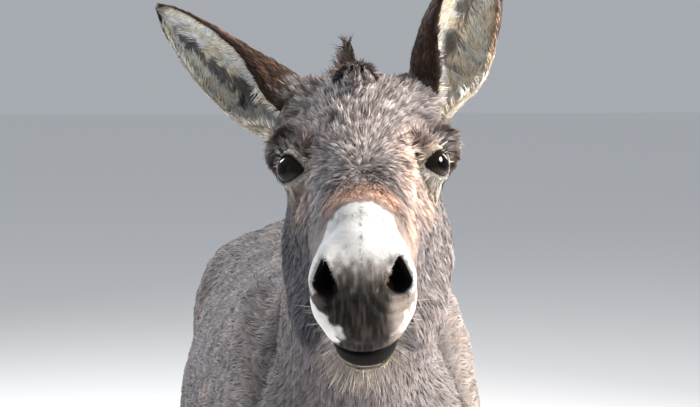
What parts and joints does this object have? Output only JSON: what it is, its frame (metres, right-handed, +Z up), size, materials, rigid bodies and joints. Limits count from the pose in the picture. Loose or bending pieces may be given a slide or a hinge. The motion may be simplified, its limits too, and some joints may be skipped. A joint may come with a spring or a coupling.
{
  "type": "standing donkey",
  "caption": "Life-size standing donkey with its head stretched forward, an ear raised and the other lowered sideways, a mouse-grey coat, a white patch on the nose and dark hooves.",
  "frame": {"origin": "on the floor, under the middle of the model's outer box", "axes": "+Z up, -Y the way the donkey faces, +X its left side"},
  "size_m": [0.4772, 1.7822, 1.4825],
  "materials": {
    "coat": "short fur over skin",
    "ear_coat": "short fur outside, long pale hair inside",
    "long_hair": "coarse upright or hanging hair",
    "eye": "wet and clear over a dark iris",
    "hoof": "worn horn"
  },
  "bodies": {
    "root": {"ear_left": "ear_coat", "ear_right": "ear_coat", "eye_left": "eye", "eye_right": "eye", "fore_hoof_left": "hoof", "fore_hoof_right": "hoof", "fore_leg_left": "coat", "fore_leg_right": "coat", "forelock": "long_hair", "head": "coat", "hind_hoof_left": "hoof", "hind_hoof_right": "hoof", "hind_leg_left": "coat", "hind_leg_right": "coat", "mane": "long_hair", "neck": "coat", "tail": "coat", "tail_tuft": "long_hair", "trunk": "coat"}
  },
  "joints": []
}
